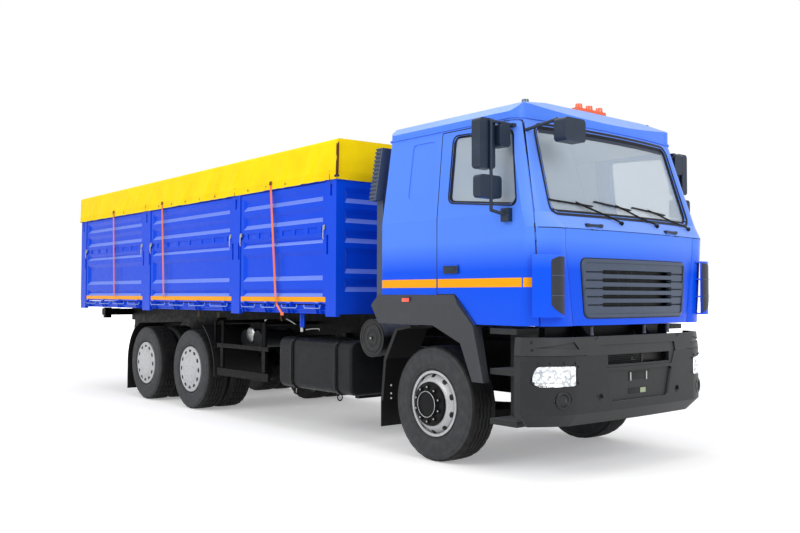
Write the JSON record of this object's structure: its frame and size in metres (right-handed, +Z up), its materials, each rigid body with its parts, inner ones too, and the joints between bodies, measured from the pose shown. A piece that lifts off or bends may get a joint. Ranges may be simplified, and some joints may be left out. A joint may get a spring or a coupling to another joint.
{
  "type": "three-axle grain truck",
  "caption": "Cab-over truck on three axles with a drop-side body, a covering tarpaulin, a tilting cab, doors and steered front wheels",
  "frame": {"origin": "middle of the whole truck's box, on the ground", "axes": "+X to the truck's front, +Y to its left, +Z up"},
  "size_m": [10.11, 3.06, 3.272],
  "materials": {
    "chassis_paint": "satin black frame paint",
    "cast_iron": "dark castings",
    "tyre": "matte tyre rubber",
    "rim_paint": "silver wheel paint",
    "blue_paint": "glossy saturated blue body paint",
    "dark_plastic": "grained dark grey moulding",
    "grille_plastic": "grey moulding",
    "glass": "clear cab glass",
    "lamp_lens": "clear lamp lens",
    "amber_lens": "amber lamp lens",
    "tank_paint": "black tank paint",
    "mirror_plastic": "black mirror housing",
    "seat_fabric": "dark woven seat cover",
    "tarpaulin": "bright yellow coated cloth",
    "floor_sheet": "dark painted sheet",
    "guard_plastic": "black moulded mudguard"
  },
  "bodies": {
    "chassis": {"chassis_frame": "chassis_paint", "engine_block": "cast_iron", "front_axle": "cast_iron", "rear_axles": "cast_iron", "front_bumper": "dark_plastic", "headlamps": "lamp_lens", "cab_steps": "dark_plastic", "mudguards": "guard_plastic", "fuel_tank": "tank_paint", "air_filter": "dark_plastic", "air_receivers": "tank_paint", "battery_box": "dark_plastic", "exhaust_silencer": "chassis_paint", "side_guards": "chassis_paint", "tail_bar": "chassis_paint", "bed_floor": "floor_sheet", "bed_frame": "blue_paint", "tarpaulin": "tarpaulin"},
    "cab": {"cab_body": "blue_paint", "cab_roof": "blue_paint", "windscreen": "glass", "arch_trims": "dark_plastic", "corner_deflectors": "blue_paint", "roof_lamps": "amber_lens", "front_mirror": "mirror_plastic", "air_intake": "grille_plastic", "cab_interior": "seat_fabric"},
    "front_flap": {"front_panel": "blue_paint", "grille": "grille_plastic"},
    "tailgate": {"tailgate": "blue_paint"},
    "knuckle_right": {"knuckle_right": "cast_iron"},
    "front_wheel_right": {"front_tyre_right": "tyre", "front_rim_right": "rim_paint"},
    "door_right": {"door_right": "blue_paint", "door_glass_right": "glass", "door_mirrors_right": "mirror_plastic"},
    "rear_wheels_1_right": {"rear_tyres_1_right": "tyre", "rear_rims_1_right": "rim_paint"},
    "rear_wheels_2_right": {"rear_tyres_2_right": "tyre", "rear_rims_2_right": "rim_paint"},
    "side_board_1_right": {"side_board_1_right": "blue_paint"},
    "side_board_2_right": {"side_board_2_right": "blue_paint"},
    "side_board_3_right": {"side_board_3_right": "blue_paint"},
    "knuckle_left": {"knuckle_left": "cast_iron"},
    "front_wheel_left": {"front_tyre_left": "tyre", "front_rim_left": "rim_paint"},
    "door_left": {"door_left": "blue_paint", "door_glass_left": "glass", "door_mirrors_left": "mirror_plastic"},
    "rear_wheels_1_left": {"rear_tyres_1_left": "tyre", "rear_rims_1_left": "rim_paint"},
    "rear_wheels_2_left": {"rear_tyres_2_left": "tyre", "rear_rims_2_left": "rim_paint"},
    "side_board_1_left": {"side_board_1_left": "blue_paint"},
    "side_board_2_left": {"side_board_2_left": "blue_paint"},
    "side_board_3_left": {"side_board_3_left": "blue_paint"}
  },
  "joints": [
    {"name": "cab_tilt", "type": "hinge", "parent": "chassis", "child": "cab", "pos_m": [4.885, 0, 1], "axis": [0, 1, 0], "range_deg": [0, 55]},
    {"name": "front_flap_hinge", "type": "hinge", "parent": "cab", "child": "front_flap", "pos_m": [5.029, 0, 2.063], "axis": [0, -1, 0], "range_deg": [0, 80]},
    {"name": "tailgate_hinge", "type": "hinge", "parent": "chassis", "child": "tailgate", "pos_m": [-4.957, 0, 2.668], "axis": [0, 1, 0], "range_deg": [0, 70]},
    {"name": "steering_right", "type": "hinge", "parent": "chassis", "child": "knuckle_right", "pos_m": [3.635, -0.93, 0.525], "axis": [0, 0, 1], "range_deg": [-35, 35]},
    {"name": "front_wheel_spin_right", "type": "hinge", "parent": "knuckle_right", "child": "front_wheel_right", "pos_m": [3.635, -1.032, 0.525], "axis": [0, 1, 0], "continuous": true},
    {"name": "rear_wheel_spin_1_right", "type": "hinge", "parent": "chassis", "child": "rear_wheels_1_right", "pos_m": [-1.115, -0.892, 0.525], "axis": [0, 1, 0], "continuous": true},
    {"name": "rear_wheel_spin_2_right", "type": "hinge", "parent": "chassis", "child": "rear_wheels_2_right", "pos_m": [-2.515, -0.892, 0.525], "axis": [0, 1, 0], "continuous": true},
    {"name": "door_hinge_right", "type": "hinge", "parent": "cab", "child": "door_right", "pos_m": [4.885, -1.245, 2.1], "axis": [0, 0, 1], "range_deg": [0, 75]},
    {"name": "board_hinge_1_right", "type": "hinge", "parent": "chassis", "child": "side_board_1_right", "pos_m": [-1.365, -1.292, 1.422], "axis": [1, 0, 0], "range_deg": [0, 180]},
    {"name": "board_hinge_2_right", "type": "hinge", "parent": "chassis", "child": "side_board_2_right", "pos_m": [-1.365, -1.292, 1.422], "axis": [1, 0, 0], "range_deg": [0, 180]},
    {"name": "board_hinge_3_right", "type": "hinge", "parent": "chassis", "child": "side_board_3_right", "pos_m": [-1.365, -1.292, 1.422], "axis": [1, 0, 0], "range_deg": [0, 180]},
    {"name": "steering_left", "type": "hinge", "parent": "chassis", "child": "knuckle_left", "pos_m": [3.635, 0.93, 0.525], "axis": [0, 0, 1], "range_deg": [-35, 35]},
    {"name": "front_wheel_spin_left", "type": "hinge", "parent": "knuckle_left", "child": "front_wheel_left", "pos_m": [3.635, 1.032, 0.525], "axis": [0, 1, 0], "continuous": true},
    {"name": "rear_wheel_spin_1_left", "type": "hinge", "parent": "chassis", "child": "rear_wheels_1_left", "pos_m": [-1.115, 0.892, 0.525], "axis": [0, 1, 0], "continuous": true},
    {"name": "rear_wheel_spin_2_left", "type": "hinge", "parent": "chassis", "child": "rear_wheels_2_left", "pos_m": [-2.515, 0.892, 0.525], "axis": [0, 1, 0], "continuous": true},
    {"name": "door_hinge_left", "type": "hinge", "parent": "cab", "child": "door_left", "pos_m": [4.885, 1.245, 2.1], "axis": [0, 0, -1], "range_deg": [0, 75]},
    {"name": "board_hinge_1_left", "type": "hinge", "parent": "chassis", "child": "side_board_1_left", "pos_m": [-1.365, 1.292, 1.422], "axis": [-1, 0, 0], "range_deg": [0, 180]},
    {"name": "board_hinge_2_left", "type": "hinge", "parent": "chassis", "child": "side_board_2_left", "pos_m": [-1.365, 1.292, 1.422], "axis": [-1, 0, 0], "range_deg": [0, 180]},
    {"name": "board_hinge_3_left", "type": "hinge", "parent": "chassis", "child": "side_board_3_left", "pos_m": [-1.365, 1.292, 1.422], "axis": [-1, 0, 0], "range_deg": [0, 180]}
  ],
  "couplings": [
    {"joint": "steering_right", "follows": "steering_left", "ratio": 1}
  ]
}
